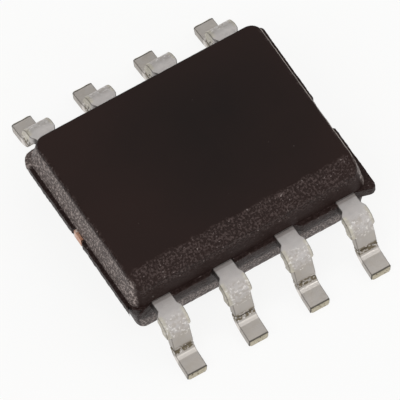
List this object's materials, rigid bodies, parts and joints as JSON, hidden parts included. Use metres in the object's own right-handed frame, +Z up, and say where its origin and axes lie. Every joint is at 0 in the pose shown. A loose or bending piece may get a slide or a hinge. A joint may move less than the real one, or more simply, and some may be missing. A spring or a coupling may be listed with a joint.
{
  "type": "soic chip",
  "caption": "Small moulded surface-mount chip with gull-wing leads along both long sides and a bevelled front edge.",
  "frame": {"origin": "under the middle of the body, on the seating plane that the feet stand on", "axes": "+X along the rows of leads, to the right seen from the bevelled front; +Y from the bevelled front row to the back row; +Z up from the seating plane"},
  "size_m": [0.005, 0.0062, 0.0017],
  "materials": {
    "mould_compound": "filled epoxy, satin on the top face and coarse spark-eroded grain on the bevel and end walls",
    "tin_plate": "matt tin plate over a copper alloy lead sheet",
    "copper": "bare rolled copper alloy",
    "silver_adhesive": "cured silver-filled adhesive",
    "silicon": "polished silicon with a thin glassy coating",
    "gold": "bright drawn gold wire"
  },
  "bodies": {
    "root": {"moulded_body": "mould_compound", "lead_1": "tin_plate", "lead_2": "tin_plate", "lead_3": "tin_plate", "lead_4": "tin_plate", "lead_5": "tin_plate", "lead_6": "tin_plate", "lead_7": "tin_plate", "lead_8": "tin_plate", "die_paddle": "copper", "die_attach": "silver_adhesive", "silicon_die": "silicon", "bond_wire_1": "gold", "bond_wire_2": "gold", "bond_wire_3": "gold", "bond_wire_4": "gold", "bond_wire_5": "gold", "bond_wire_6": "gold", "bond_wire_7": "gold", "bond_wire_8": "gold"}
  },
  "joints": []
}
